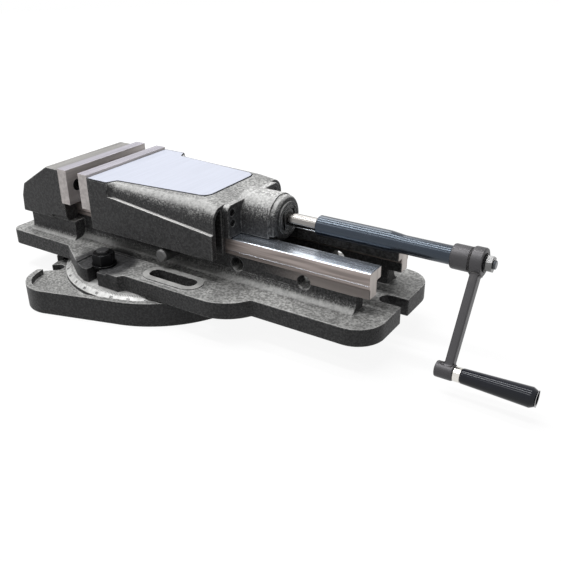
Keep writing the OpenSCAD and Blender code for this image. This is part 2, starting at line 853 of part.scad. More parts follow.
module housing_screws() {
    color(BLACK) housing_screw_places(house_x1)
        cap_screw(small_screw_r, flange_x_t - small_head_h + housing_screw_l - side_gap,
            small_head_r, small_head_h);
}

// Screwed ring that closes the nose round the rod, with concentric steps and spanner holes
module gland_ring() {
    color(GRAPHITE) difference() {
        turned(gland_x0, gland_x1, boss_bore_r);
        turned(gland_x0 - cut, gland_x1 + cut, rod_r + gland_rod_gap);
        for (s = gland_groove_shares) difference() {
            turned(gland_x1 - gland_groove, gland_x1 + cut, s * boss_bore_r + gland_groove_w);
            turned(gland_x1 - 2 * gland_groove, gland_x1 + 2 * cut, s * boss_bore_r);
        }
        for (a = [45:90:315]) translate([gland_x1 - 2 * gland_groove_w, 0, axis_z])
            rotate([a, 0, 0]) translate([0, 0, spanner_share * boss_bore_r]) rotate([0, 90, 0])
                cylinder(h = 2 * gland_groove_w + cut, d = spanner_d);
    }
}

module thrust_pad() {
    color(STEEL) turned(cavity_x - pad_t, cavity_x, pad_r);
}

module booster_spindle() {
    color(STEEL) difference() {
        union() {
            turned(spindle_x0, collar_x0 + cut, spindle_r);
            turned(collar_x0, collar_x1, collar_r);
        }
        turned(spindle_x0 - cut, spindle_x0 + cylinder_l, cylinder_r + run_gap);
        turned(spindle_x0, gallery_x1 + cut, plunger_r + run_gap);
        turned(gallery_x1, collar_x1 + cut, rod_bore_r);
        turned(collar_x1 - cap_l, collar_x1 + cut, cap_r);
    }
}

module spindle_end_cap() {
    color(STEEL) difference() {
        turned(collar_x1 - cap_l, collar_x1, cap_r);
        turned(collar_x1 - cap_l - cut, collar_x1 + cut, rod_r + run_gap);
    }
}

// A groove or a ring of width seal_w round a turned piece
module ring_at(x, r_out, r_in) {
    difference() {
        turned(x, x + seal_w, r_out);
        turned(x - cut, x + seal_w + cut, r_in);
    }
}

module main_piston() {
    color(STEEL) difference() {
        turned(piston_x0, piston_x0 + piston_l, cylinder_r);
        ring_at(piston_x0 + piston_l - 2 * seal_w, cylinder_r + cut, cylinder_r - seal_h);
    }
}

module piston_seal() {
    color(BLACK) ring_at(piston_x0 + piston_l - 2 * seal_w, cylinder_r, cylinder_r - seal_h);
}

module plunger() {
    color(STEEL) difference() {
        union() {
            turned(plunger_x0, plunger_x1, plunger_r);
            turned(plunger_x1 - plunger_head_l, plunger_x1, rod_r);
        }
        ring_at(plunger_x0 + seal_w, plunger_r + cut, plunger_r - plunger_seal_h);
    }
}

module plunger_seal() {
    color(BLACK) ring_at(plunger_x0 + seal_w, plunger_r, plunger_r - plunger_seal_h);
}

module drive_rod() {
    color(STEEL) turned(rod_x0, rod_x1, rod_r);
}

// Blued sleeve over the rod: a thick barrel, a cone, a thin tube and the crank's journal and stud
module clutch_sleeve() {
    thick_x = sleeve_x0 + thick_share * sleeve_l;
    cone_x = sleeve_x0 + cone_share * sleeve_l;
    color(BLUED) difference() {
        union() {
            turned(sleeve_x0, sleeve_x0 + sleeve_chamfer, sleeve_r - sleeve_chamfer, sleeve_r);
            turned(sleeve_x0 + sleeve_chamfer, thick_x, sleeve_r);
            turned(thick_x, cone_x, sleeve_r, tube_r);
            turned(cone_x, sleeve_x1, tube_r);
            turned(sleeve_x1 - cut, eye_x1, journal_r);
            turned(eye_x1 - cut, eye_x1 + crank_washer_t + crank_nut_h + edge_chamfer, stud_r);
        }
        turned(sleeve_x0 - cut, rod_x1, rod_r);
    }
}

// Puts children at the crank's lower end, with the crank's frame turned so that it points down
module at_grip() {
    translate([0, -crank_l * sin(crank_angle), axis_z - crank_l * cos(crank_angle)]) children();
}

module grip_turned(x0, x1, r, r_end = undef) {
    at_grip() translate([x0, 0, 0]) rotate([0, 90, 0])
        cylinder(h = x1 - x0, r1 = r, r2 = is_undef(r_end) ? r : r_end);
}

module crank_arm() {
    arm_x = eye_x1 - (eye_l + arm_t) / 2;
    color([0.33, 0.34, 0.37]) difference() {
        union() {
            turned(sleeve_x1, sleeve_x1 + hub_l - hub_neck, hub_r);
            turned(sleeve_x1, eye_x1, hub_r - hub_neck);
            turned(eye_x0, eye_x1, eye_r);
            translate([arm_x, 0, axis_z]) rotate([-crank_angle, 0, 0]) rotate([0, 90, 0])
                linear_extrude(arm_t) polygon([[0, -arm_w0 / 2], [crank_l, -arm_w1 / 2],
                    [crank_l, arm_w1 / 2], [0, arm_w0 / 2]]);
            grip_turned(eye_x1 - crank_boss_l, eye_x1, crank_boss_r);
        }
        turned(sleeve_x1 - cut, eye_x1 + cut, journal_r);
        grip_turned(eye_x1 - crank_boss_l - cut, eye_x1 + cut, grip_pin_r);
    }
}

module crank_washer() {
    color(STEEL) difference() {
        turned(eye_x1, eye_x1 + crank_washer_t, crank_washer_r);
        turned(eye_x1 - cut, eye_x1 + crank_washer_t + cut, stud_r);
    }
}

module crank_nut() {
    x0 = eye_x1 + crank_washer_t;
    color(BLACK) difference() {
        translate([x0, 0, axis_z]) rotate([0, 90, 0])
            cylinder(h = crank_nut_h, d = crank_nut_af / cos(30), $fn = 6);
        turned(x0 - cut, x0 + crank_nut_h + cut, stud_r);
    }
}

// Shouldered pin that the grip turns on, riveted in the arm, with its head sunk in the grip
module grip_pin() {
    color(STEEL) {
        grip_turned(eye_x1 - crank_boss_l, grip_x1 - pin_head_l - pin_head_gap, grip_pin_r);
        grip_turned(grip_x1 - pin_head_l - pin_head_gap, grip_x1 - pin_head_gap, pin_head_r);
    }
}

module grip_ferrule() {
    color([0.85, 0.85, 0.84]) difference() {
        grip_turned(ferrule_x0, grip_x0, ferrule_r);
        grip_turned(ferrule_x0 - cut, grip_x0 + cut, grip_pin_r + run_gap);
    }
}

module grip() {
    r = grip_d / 2;
    color(BLACK) difference() {
        union() {
            grip_turned(grip_x0, grip_x1 - grip_dome, grip_r0, r);
            grip_turned(grip_x1 - grip_dome, grip_x1, r, r - grip_dome / 2);
        }
        grip_turned(grip_x0 - cut, grip_x1 + cut, grip_pin_r + run_gap);
        grip_turned(grip_x1 - pin_head_l - 2 * pin_head_gap, grip_x1 + cut, pin_head_r + pin_head_gap);
    }
}

swivel_base();
vise_bed();
swivel_pivot();
swivel_bolts();
swivel_washers();
swivel_nut_near();
swivel_nut_far();
fixed_jaw();
fixed_jaw_bolts();
fixed_jaw_plate();
fixed_plate_screws();
nut_block();
spindle_nut();
nut_screws();
locating_pin();
moving_jaw();
moving_jaw_plate();
moving_plate_screws();
hold_down_plates();
hold_down_screws();
spindle_housing();
housing_screws();
gland_ring();
thrust_pad();
booster_spindle();
spindle_end_cap();
main_piston();
piston_seal();
plunger();
plunger_seal();
drive_rod();
clutch_sleeve();
crank_arm();
crank_washer();
crank_nut();
grip_pin();
grip_ferrule();
grip();
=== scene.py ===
"""Looks of the hydraulic machine vise: finishes, rounded edges, scale, threads and studio."""

import logging
import math
from collections.abc import Callable
from dataclasses import dataclass, field
from enum import Enum
from typing import Protocol

import bmesh
import bpy
from mathutils import Matrix, Vector


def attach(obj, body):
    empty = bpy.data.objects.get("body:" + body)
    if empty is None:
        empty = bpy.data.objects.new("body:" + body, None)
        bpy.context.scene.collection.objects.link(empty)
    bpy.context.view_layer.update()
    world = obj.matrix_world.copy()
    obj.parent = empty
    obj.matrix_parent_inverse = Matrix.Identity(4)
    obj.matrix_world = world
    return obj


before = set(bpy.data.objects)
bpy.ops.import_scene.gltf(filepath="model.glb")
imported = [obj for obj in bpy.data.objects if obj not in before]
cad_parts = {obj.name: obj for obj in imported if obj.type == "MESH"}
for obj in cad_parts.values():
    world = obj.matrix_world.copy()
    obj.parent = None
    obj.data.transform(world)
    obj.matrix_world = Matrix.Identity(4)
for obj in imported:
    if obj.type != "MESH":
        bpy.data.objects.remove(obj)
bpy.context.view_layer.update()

LOG = logging.getLogger("vise")

Colour = tuple[float, float, float]
Ramp = tuple[float, float]
Socket = bpy.types.NodeSocket
Number = Socket | float
Value = Socket | float | Colour

MM = 0.001
UP = (0.0, 0.0, 1.0)
ALONG_RAILS = (1.0, 0.0, 0.0)
WHITE = (1.0, 1.0, 1.0)
NO_LIGHT = (0.0, 0.0, 0.0)
PAINT_GLOSS = 0.22
COAT_ROUGHNESS = 0.06
# Where a clamping bolt and its nut stand, in mm: along the vise, and out to either side.
CLAMP_AT = (-17.66, 105.53)


class Axis(Enum):
    """Direction in which a machined face was ground or turned."""

    ALONG = (0.04, 1.0, 1.0)
    ACROSS = (1.0, 0.04, 1.0)
    UPRIGHT = (1.0, 1.0, 0.04)


class Detail(Enum):
    """How much fine structure a noise has."""

    PLAIN = 2.0
    MIXED = 3.0
    RICH = 4.0


class Operation(Enum):
    """What a Math node does with its numbers."""

    ADD = "ADD"
    SUBTRACT = "SUBTRACT"
    MULTIPLY = "MULTIPLY"
    LARGER = "MAXIMUM"
    SIZE = "ABSOLUTE"
    ROOT = "SQRT"


@dataclass(frozen=True)
class Look:
    """What a finish gives at one point: colour, roughness, metal share and relief."""

    colour: Value
    roughness: Number
    metal: Number
    height_mm: Number


class Graph:
    """Node tree of one material, built socket by socket."""

    COLOUR_INPUTS = (6, 7, 2)
    NUMBER_INPUTS = (2, 3, 0)
    EDGE_SAMPLES = 4
    EDGE_RAMP = (0.006, 0.09)

    def __init__(self, name: str) -> None:
        """Starts an empty tree with a shader and an output.

        Args:
            name: Name of the material.
        """
        self.material = bpy.data.materials.new(name)
        self.material.use_nodes = True
        self.tree = self.material.node_tree
        self.tree.nodes.clear()
        self.shader = self.tree.nodes.new("ShaderNodeBsdfPrincipled")
        output = self.tree.nodes.new("ShaderNodeOutputMaterial")
        self.tree.links.new(self.shader.outputs["BSDF"], output.inputs["Surface"])
        spot = self.tree.nodes.new("ShaderNodeTexCoord")
        self.place = spot.outputs["Object"]
        self.normal = spot.outputs["Normal"]

    def put(self, target: Socket, value: Value) -> None:
        """Links a socket, or sets its value where it is a plain number or colour.

        Args:
            target: The input to fill.
            value: What goes into it.
        """
        if isinstance(value, bpy.types.NodeSocket):
            self.tree.links.new(value, target)
        elif target.type == "RGBA":
            target.default_value = (*value, 1.0)
        else:
            target.default_value = value

    def math(self, operation: Operation, *values: Number) -> Socket:
        """One Math node.

        Args:
            operation: What it does.
            values: Its numbers.

        Returns:
            The node's output.
        """
        node = self.tree.nodes.new("ShaderNodeMath")
        node.operation = operation.value
        for target, value in zip(node.inputs, values):
            self.put(target, value)
        return node.outputs[0]

    def plus(self, first: Number, second: Number) -> Socket:
        """The sum of two numbers."""
        return self.math(Operation.ADD, first, second)

    def less(self, first: Number, second: Number) -> Socket:
        """The first number less the second."""
        return self.math(Operation.SUBTRACT, first, second)

    def times(self, first: Number, second: Number) -> Socket:
        """The product of two numbers."""
        return self.math(Operation.MULTIPLY, first, second)

    def size(self, number: Number) -> Socket:
        """A number without its sign."""
        return self.math(Operation.SIZE, number)

    def rest(self, share: Number) -> Socket:
        """What a share leaves of 1."""
        return self.less(1.0, share)

    def span_of(self, first: Number, second: Number) -> Socket:
        """Length of the diagonal over two distances."""
        square = self.plus(self.times(first, first), self.times(second, second))
        return self.math(Operation.ROOT, square)

    def step(self, value: Number, ramp: Ramp) -> Socket:
        """A soft step in a number.

        Args:
            value: The number.
            ramp: Where the step starts and where it ends.

        Returns:
            0 below the ramp, 1 above it and a smooth rise between them.
        """
        node = self.tree.nodes.new("ShaderNodeMapRange")
        node.interpolation_type = "SMOOTHSTEP"
        self.put(node.inputs["Value"], value)
        node.inputs["From Min"].default_value, node.inputs["From Max"].default_value = ramp
        return node.outputs["Result"]

    def above(self, value: Number, level_mm: float, soft_mm: float = 0.2) -> Socket:
        """1 where a distance in metres is over a level, given in mm like the width of the step."""
        return self.step(value, (level_mm * MM, (level_mm + soft_mm) * MM))

    def below(self, value: Number, level_mm: float, soft_mm: float = 0.2) -> Socket:
        """1 where a distance in metres is under a level, given in mm like the width of the step."""
        return self.rest(self.above(value, level_mm, soft_mm))

    def span(self, share: Number, ends: Ramp, level: float = 0.0) -> Socket:
        """Stretches a share.

        Args:
            share: A number from 0 to 1.
            ends: What 0 and 1 become, over the level.
            level: What both ends are counted from.

        Returns:
            The stretched number.
        """
        node = self.tree.nodes.new("ShaderNodeMapRange")
        self.put(node.inputs["Value"], share)
        node.inputs["To Min"].default_value = level + ends[0]
        node.inputs["To Max"].default_value = level + ends[1]
        return node.outputs["Result"]

    def stretched(self, marks: Axis) -> Socket:
        """The place, squeezed along the marks of a tool.

        Args:
            marks: Direction of the marks.

        Returns:
            The squeezed place.
        """
        node = self.tree.nodes.new("ShaderNodeMapping")
        self.put(node.inputs["Vector"], self.place)
        node.inputs["Scale"].default_value = marks.value
        return node.outputs["Vector"]

    def noise(self, size_mm: float, detail: Detail, place: Socket | None = None) -> Socket:
        """Soft noise.

        Args:
            size_mm: Rough size of its lumps.
            detail: How much fine structure it has.
            place: The place that it is read at, if it isn't the object's own.

        Returns:
            A number from 0 to 1.
        """
        node = self.tree.nodes.new("ShaderNodeTexNoise")
        node.inputs["Scale"].default_value = 1.0 / (size_mm * MM)
        node.inputs["Detail"].default_value = detail.value
        self.put(node.inputs["Vector"], place or self.place)
        return node.outputs["Fac"]

    def cells(self, size_mm: float) -> Socket:
        """Grains of sand.

        Args:
            size_mm: Rough size of a grain.

        Returns:
            Distance to the middle of the nearest grain.
        """
        node = self.tree.nodes.new("ShaderNodeTexVoronoi")
        node.inputs["Scale"].default_value = 1.0 / (size_mm * MM)
        self.put(node.inputs["Vector"], self.place)
        return node.outputs["Distance"]

    def axes(self) -> tuple[Socket, Socket, Socket]:
        """Splits the place.

        Returns:
            Its x, y and z, in metres.
        """
        node = self.tree.nodes.new("ShaderNodeSeparateXYZ")
        self.put(node.inputs[0], self.place)
        return node.outputs[0], node.outputs[1], node.outputs[2]

    def agreement(self, first: Socket, second: Value) -> Socket:
        """Compares two directions.

        Args:
            first: A unit direction.
            second: The other one.

        Returns:
            1 where they are the same, down to -1 where they are opposite.
        """
        node = self.tree.nodes.new("ShaderNodeVectorMath")
        node.operation = "DOT_PRODUCT"
        self.put(node.inputs[0], first)
        self.put(node.inputs[1], second)
        return node.outputs["Value"]

    def upward(self) -> Socket:
        """How squarely the surface faces up, from -1 to 1."""
        return self.agreement(self.normal, UP)

    def edges(self, radius_mm: float) -> Socket:
        """Finds sharp edges.

        Args:
            radius_mm: How far from an edge it still shows.

        Returns:
            1 on sharp edges and 0 away from them.
        """
        soft = self.tree.nodes.new("ShaderNodeBevel")
        soft.samples = self.EDGE_SAMPLES
        soft.inputs["Radius"].default_value = radius_mm * MM
        sharp = self.tree.nodes.new("ShaderNodeNewGeometry")
        alike = self.agreement(soft.outputs["Normal"], sharp.outputs["Normal"])
        return self.step(self.rest(alike), self.EDGE_RAMP)

    def blend(self, share: Number, first: Value, second: Value) -> Socket:
        """Mixes two numbers or two colours.

        Args:
            share: How much of the second shows.
            first: A number, colour or socket.
            second: A number, colour or socket.

        Returns:
            The mixed output.
        """
        coloured = any(
            isinstance(v, tuple) or getattr(v, "type", "") == "RGBA" for v in (first, second)
        )
        node = self.tree.nodes.new("ShaderNodeMix")
        node.data_type = "RGBA" if coloured else "FLOAT"
        first_at, second_at, out_at = self.COLOUR_INPUTS if coloured else self.NUMBER_INPUTS
        self.put(node.inputs[0], share)
        self.put(node.inputs[first_at], first)
        self.put(node.inputs[second_at], second)
        return node.outputs[out_at]

    def relief(self, height_mm: Number) -> Socket:
        """Tilts the surface by a relief.

        Args:
            height_mm: The relief's height.

        Returns:
            The normal over it.
        """
        node = self.tree.nodes.new("ShaderNodeBump")
        node.inputs["Strength"].default_value = 1.0
        node.inputs["Distance"].default_value = MM
        self.put(node.inputs["Height"], height_mm)
        return node.outputs["Normal"]

    def show(self, look: Look) -> None:
        """Gives the shader a look.

        Args:
            look: The finished look.
        """
        self.put(self.shader.inputs["Base Color"], look.colour)
        self.put(self.shader.inputs["Roughness"], look.roughness)
        self.put(self.shader.inputs["Metallic"], look.metal)
        self.put(self.shader.inputs["Normal"], self.relief(look.height_mm))


class Finish(Protocol):
    """Surface finish that can be laid on a graph."""

    def look(self, g: Graph) -> Look:
        """The finish's colour, roughness, metal share and relief."""


def shade(colour: Colour, share: float, lift: float = 0.0) -> Colour:
    """A colour times a share, over a small lift and up to white."""
    return tuple(min(1.0, c * share + lift) for c in colour)


@dataclass(frozen=True)
class CastPaint:
    """Graphite paint over sand-cast iron, pale on the faces that look up: partly rubbed wear,
    partly painted top light.
    """

    colour: Colour = (0.046, 0.046, 0.047)
    # Pale tone on upward faces: partly rubbed wear, partly painted top light.
    rubbed: Colour = (0.41, 0.41, 0.40)
    # Pale tone of flecks, of bare edges and of the painted highlight where surfaces bend over.
    worn: Colour = (0.66, 0.66, 0.65)
    roughness: float = 0.46
    rough_spread: Ramp = (-0.08, 0.12)
    metal: float = 0.0

    grain_mm: float = 1.9
    depth_mm: float = 0.34
    salt_grains: float = 0.8
    speck_grains: float = 1.5
    lump_grains: float = 3.2
    blotch_mm: float = 34.0
    sand_height: float = 0.6
    lump_height: float = 0.9

    # How much of the pale tone upward faces get: painted top light as well as wear, with noise to
    # break up its edge.
    rub: float = 1.0
    rub_ramp: Ramp = (0.14, 0.86)
    salt_tilt: Ramp = (-0.75, 0.75)
    lump_tilt: Ramp = (-0.30, 0.30)
    speck_ramp: Ramp = (0.40, 0.62)
    dark_shades: Ramp = (0.85, 1.9)
    pale_shades: Ramp = (0.50, 1.16)
    blotch_ramp: Ramp = (0.3, 0.7)
    blotch_shares: Ramp = (0.42, 0.0)

    fleck_ramp: Ramp = (0.6, 0.8)
    fleck_share: float = 0.07
    # Painted highlight on faces that bend between level and sloping, as on fillets and rounded
    # edges.
    glint: float = 0.52
    glint_spread: Ramp = (-0.4, 0.4)
    glint_from: Ramp = (0.50, 0.76)
    glint_to: Ramp = (0.90, 0.985)
    # Pale edges, partly bare worn metal and partly painted edge highlight.
    edge_mm: float = 2.2
    wear_mm: float = 6.0
    wear_ramp: Ramp = (0.34, 0.60)
    wear_share: float = 0.7

    def paint(self, g: Graph, up: Socket, salt: Socket, lumps: Socket, blotch: Socket) -> Socket:
        """Dark paint, and a pale tone on what looks up, partly rubbed wear and partly painted top
        light.

        Args:
            g: The material's graph.
            up: How squarely the surface faces up.
            salt: The finest noise.
            lumps: Noise of the casting's lumps.
            blotch: Noise of broad stains.

        Returns:
            The paint's colour.
        """
        # Painted top light, partly wear: the more squarely a face looks up, the more pale tone it
        # gets.
        upward = g.plus(up, g.span(salt, self.salt_tilt))
        upward = g.plus(upward, g.span(lumps, self.lump_tilt))
        share = g.times(g.step(upward, self.rub_ramp), self.rub)
        noise = g.noise(self.grain_mm * self.speck_grains, Detail.MIXED)
        speck = g.step(noise, self.speck_ramp)
        dark = g.blend(speck, *(shade(self.colour, s) for s in self.dark_shades))
        pale_wear_and_top_light = g.blend(speck, *(shade(self.rubbed, s) for s in self.pale_shades))
        stain = g.span(g.step(blotch, self.blotch_ramp), self.blotch_shares)
        return g.blend(share, dark, g.blend(stain, pale_wear_and_top_light, self.colour))

    def worn_paint(self, g: Graph, paint: Socket, up: Socket, salt: Socket,
            lumps: Socket) -> Socket:
        """Adds flecks, a painted highlight where surfaces bend over, and pale edges that are partly
        bare worn metal and partly painted highlight.

        Args:
            g: The material's graph.
            paint: The paint's colour.
            up: How squarely the surface faces up.
            salt: The finest noise.
            lumps: Noise of the casting's lumps.

        Returns:
            The paint's colour with flecks, painted highlight and pale edges.
        """
        fleck = g.times(g.step(salt, self.fleck_ramp), self.fleck_share)
        flecked = g.blend(fleck, paint, self.worn)
        # Painted highlight on the band where a surface bends from level to sloping.
        glint_band = g.times(g.step(up, self.glint_from), g.rest(g.step(up, self.glint_to)))
        glint = g.times(glint_band, g.span(lumps, self.glint_spread, self.glint))
        shone = g.blend(glint, flecked, self.worn)
        # Pale chipped edges: partly bare worn metal, partly painted edge highlight.
        chips = g.step(g.noise(self.wear_mm, Detail.RICH), self.wear_ramp)
        wear = g.times(g.edges(self.edge_mm), chips)
        return g.blend(g.times(wear, self.wear_share), shone, self.worn)

    def look(self, g: Graph) -> Look:
        """Paints a casting.

        Args:
            g: The material's graph.

        Returns:
            The casting's look.
        """
        sand = g.cells(self.grain_mm)
        lumps = g.noise(self.grain_mm * self.lump_grains, Detail.MIXED)
        blotch = g.noise(self.blotch_mm, Detail.MIXED)
        salt = g.noise(self.grain_mm * self.salt_grains, Detail.PLAIN)
        up = g.upward()
        paint = self.paint(g, up, salt, lumps, blotch)
        height = g.plus(g.times(sand, self.sand_height), g.times(lumps, self.lump_height))
        return Look(
            self.worn_paint(g, paint, up, salt, lumps),
            g.span(blotch, self.rough_spread, self.roughness),
            self.metal,
            g.times(height, self.depth_mm),
        )


@dataclass(frozen=True)
class GroundSteel:
    """Machined steel with fine grinding or turning marks; where given, upright faces take another
    tone than level ones, which is painted light and shade.
    """

    colour: Colour = (0.52, 0.49, 0.48)
    # Tone of upright faces, when it differs from level ones: painted light and shade.
    upright: Colour | None = None
    upright_rough: float = 0.2
    roughness: float = 0.3
    rough_spread: Ramp = (-0.05, 0.08)
    metal: float = 0.85
    marks: Axis = Axis.ACROSS
    mark_mm: float = 0.5
    depth_mm: float = 0.012
    level_ramp: Ramp = (0.45, 0.85)
    cloud_mm: float = 45.0
    streak: float = 0.2
    streak_marks: float = 9.0
    streak_ramp: Ramp = (0.35, 0.65)
    scratch_ramp: Ramp = (0.62, 0.78)
    scratch_light: float = 1.12
    scratch_share: float = 0.4
    scratch_rough: float = 0.06

    def look(self, g: Graph) -> Look:
        """Grinds or turns the steel.

        Args:
            g: The material's graph.

        Returns:
            The steel's look.
        """
        along = g.stretched(self.marks)
        fine = g.noise(self.mark_mm, Detail.PLAIN, along)
        broad = g.noise(self.mark_mm * self.streak_marks, Detail.PLAIN, along)
        cloud = g.noise(self.cloud_mm, Detail.MIXED)
        scratch = g.step(fine, self.scratch_ramp)
        # Painted light and shade: upright faces take another tone than level ones, where one is
        # given.
        level = g.step(g.upward(), self.level_ramp)
        base = g.blend(level, self.upright or self.colour, self.colour)
        streak = g.span(g.step(broad, self.streak_ramp), (self.streak, 0.0))
        streaked = g.blend(streak, base, NO_LIGHT)
        share = g.times(g.times(scratch, level), self.scratch_share)
        colour = g.blend(share, streaked, shade(self.colour, self.scratch_light))
        rough = g.span(cloud, self.rough_spread, self.roughness)
        rough = g.plus(rough, g.times(scratch, self.scratch_rough))
        if self.upright is not None:
            rough = g.plus(rough, g.span(level, (self.upright_rough, 0.0)))
        return Look(colour, rough, self.metal, g.times(fine, self.depth_mm))


@dataclass(frozen=True)
class DarkSteel:
    """Blued, blackened or plain dark steel with rubbed edges."""

    colour: Colour = (0.012, 0.016, 0.028)
    rubbed: Colour = (0.16, 0.17, 0.20)
    roughness: float = 0.22
    rough_spread: Ramp = (-0.06, 0.12)
    metal: float = 0.9
    marks: Axis = Axis.UPRIGHT
    mark_mm: float = 0.7
    depth_mm: float = 0.01
    wear: float = 0.5
    wear_mm: float = 3.5
    wear_ramp: Ramp = (0.4, 0.65)
    edge_mm: float = 0.7
    cloud_mm: float = 22.0
    thin_ramp: Ramp = (0.52, 0.8)
    thin_share: float = 0.18

    def look(self, g: Graph) -> Look:
        """Darkens the steel.

        Args:
            g: The material's graph.

        Returns:
            The steel's look.
        """
        turned = g.noise(self.mark_mm, Detail.PLAIN, g.stretched(self.marks))
        cloud = g.noise(self.cloud_mm, Detail.RICH)
        chips = g.step(g.noise(self.wear_mm, Detail.MIXED), self.wear_ramp)
        edge = g.times(g.times(g.edges(self.edge_mm), chips), self.wear)
        thin = g.times(g.step(cloud, self.thin_ramp), self.thin_share)
        colour = g.blend(g.math(Operation.LARGER, edge, thin), self.colour, self.rubbed)
        rough = g.span(cloud, self.rough_spread, self.roughness)
        return Look(colour, rough, self.metal, g.times(turned, self.depth_mm))


@dataclass(frozen=True)
class Plain:
    """Moulded or plated surface with a faint skin."""

    colour: Colour
    roughness: float
    rough_spread: Ramp = (-0.04, 0.1)
    metal: float = 0.0
    skin_mm: float = 1.5
    depth_mm: float = 0.01
    cloud_mm: float = 9.0
    dust_ramp: Ramp = (0.45, 0.8)
    dust_share: float = 0.4
    dust_light: float = 1.5
    dust_lift: float = 0.01

    def look(self, g: Graph) -> Look:
        """Moulds or plates the surface.

        Args:
            g: The material's graph.

        Returns:
            The surface's look.
        """
        cloud = g.noise(self.cloud_mm, Detail.RICH)
        skin = g.noise(self.skin_mm, Detail.MIXED)
        dust = shade(self.colour, self.dust_light, self.dust_lift)
        share = g.times(g.step(cloud, self.dust_ramp), self.dust_share)
        rough = g.span(cloud, self.rough_spread, self.roughness)
        return Look(g.blend(share, self.colour, dust), rough, self.metal,
            g.times(skin, self.depth_mm))


PAINT = CastPaint()
# Darker paint with no pale top, laid round the clamping nuts.
NUT_SEAT_PAINT = CastPaint(colour=(0.028, 0.028, 0.029), worn=(0.16, 0.16, 0.16), rub=0.0)
# Each part's pale tone is set to how bright its upward faces look lit: painted top light, strongest
# on the housing; the gland's glint is painted highlight too.
JAW_PAINT = CastPaint(rubbed=(0.48, 0.48, 0.47))
FIXED_PAINT = CastPaint(rubbed=(0.34, 0.34, 0.33))
HOUSING_PAINT = CastPaint(rubbed=(0.66, 0.66, 0.65))
GLAND_PAINT = CastPaint(rubbed=(0.26, 0.26, 0.26), glint=0.4, grain_mm=1.2, depth_mm=0.15)
# The plates' level and upright faces differ in tone as lit faces do: painted light.
PLATE = GroundSteel(colour=(0.37, 0.355, 0.40), upright=(0.47, 0.44, 0.43), roughness=0.36)
CONE = GroundSteel(colour=(0.66, 0.66, 0.65), roughness=0.4, metal=0.2, mark_mm=0.6)
RIMS = GroundSteel(colour=(0.40, 0.40, 0.39), roughness=0.5, metal=0.1, mark_mm=1.2)
# The land's blue-lavender tint is painted reflection.
JAW_TOP = GroundSteel(colour=(0.525, 0.55, 0.635), roughness=0.45, metal=0.1, mark_mm=0.35,
    depth_mm=0.003, streak=0.05)
# Near-black painted shade on the small step round the ground land.
JAW_STEP_SHADE = Plain(colour=(0.016, 0.018, 0.022), roughness=0.7)
FIXED_TOP = GroundSteel(colour=(0.28, 0.272, 0.262), roughness=0.5, metal=0.1, mark_mm=0.8,
    streak=0.3)
LEDGE = GroundSteel(colour=(0.72, 0.71, 0.70), roughness=0.4, metal=0.1, marks=Axis.ALONG)
# Blue-white rail tops against brown sides: painted reflection on the tops, painted shade on the
# sides.
RAIL_TOP = GroundSteel(colour=(0.74, 0.80, 0.89), upright=(0.37, 0.32, 0.30), roughness=0.24,
    metal=0.92, marks=Axis.ALONG, depth_mm=0.001, streak=0.42)
RAIL_END = GroundSteel(colour=(0.50, 0.46, 0.435), roughness=0.5, metal=0.9,
    marks=Axis.UPRIGHT, mark_mm=0.9, streak=0.3)
RAIL_FOOT = GroundSteel(colour=(0.31, 0.275, 0.26), roughness=0.5, metal=0.5, marks=Axis.ALONG,
    mark_mm=1.4, depth_mm=0.02)
ROD = GroundSteel(colour=(0.25, 0.24, 0.23), roughness=0.2, metal=1.0, marks=Axis.ALONG,
    depth_mm=0.0015, streak=0.05)
STUD = GroundSteel(colour=(0.055, 0.055, 0.057), roughness=0.4, metal=0.6, depth_mm=0.006)
PIN = GroundSteel(colour=(0.15, 0.15, 0.15), roughness=0.38, metal=0.7, depth_mm=0.006)
BRONZE = GroundSteel(colour=(0.52, 0.32, 0.13), roughness=0.32)
NICKEL = GroundSteel(colour=(0.72, 0.70, 0.66), roughness=0.16, metal=1.0, marks=Axis.UPRIGHT)
ZINC = GroundSteel(colour=(0.17, 0.17, 0.17), roughness=0.28, metal=1.0, mark_mm=0.8)
BLUED = DarkSteel(colour=(0.010, 0.013, 0.022), rubbed=(0.05, 0.06, 0.08), roughness=0.16,
    metal=0.0, wear=0.3)
BLACK = DarkSteel(colour=(0.010, 0.010, 0.011), rubbed=(0.20, 0.20, 0.20), roughness=0.34)
FORGED = DarkSteel(colour=(0.072, 0.070, 0.074), rubbed=(0.26, 0.24, 0.23), roughness=0.40,
    metal=0.6, mark_mm=2.0, depth_mm=0.08, wear=0.6)
RUBBER = Plain(colour=(0.015, 0.015, 0.016), roughness=0.7)
INK = Plain(colour=(0.015, 0.015, 0.015), roughness=0.5)
GLOSS = Plain(colour=(0.006, 0.007, 0.014), roughness=0.1, depth_mm=0.004)


def plain_material(name: str, finish: Finish, coat: float = 0.0, gloss: float = 0.5,
        tint: Colour = WHITE) -> bpy.types.Material:
    """A material of one finish all over.

    Args:
        name: Name of the material.
        finish: The finish that gives its look.
        coat: Weight of a clear gloss coat.
        gloss: Specular level of the surface under the coat.
        tint: Colour of that gloss.

    Returns:
        The material.
    """
    g = Graph(name)
    g.show(finish.look(g))
    g.shader.inputs["Coat Weight"].default_value = coat
    g.shader.inputs["Coat Roughness"].default_value = COAT_ROUGHNESS
    g.shader.inputs["Specular IOR Level"].default_value = gloss
    g.shader.inputs["Specular Tint"].default_value = (*tint, 1.0)
    return g.material


def layered(g: Graph, under: Look, over: Look, share: Socket) -> Look:
    """One look over another.

    Args:
        g: The material's graph.
        under: The look below.
        over: The look on top.
        share: 1 where the one on top shows.

    Returns:
        The two together.
    """
    return Look(
        g.blend(share, under.colour, over.colour),
        g.blend(share, under.roughness, over.roughness),
        g.blend(share, under.metal, over.metal),
        g.blend(share, under.height_mm, over.height_mm),
    )


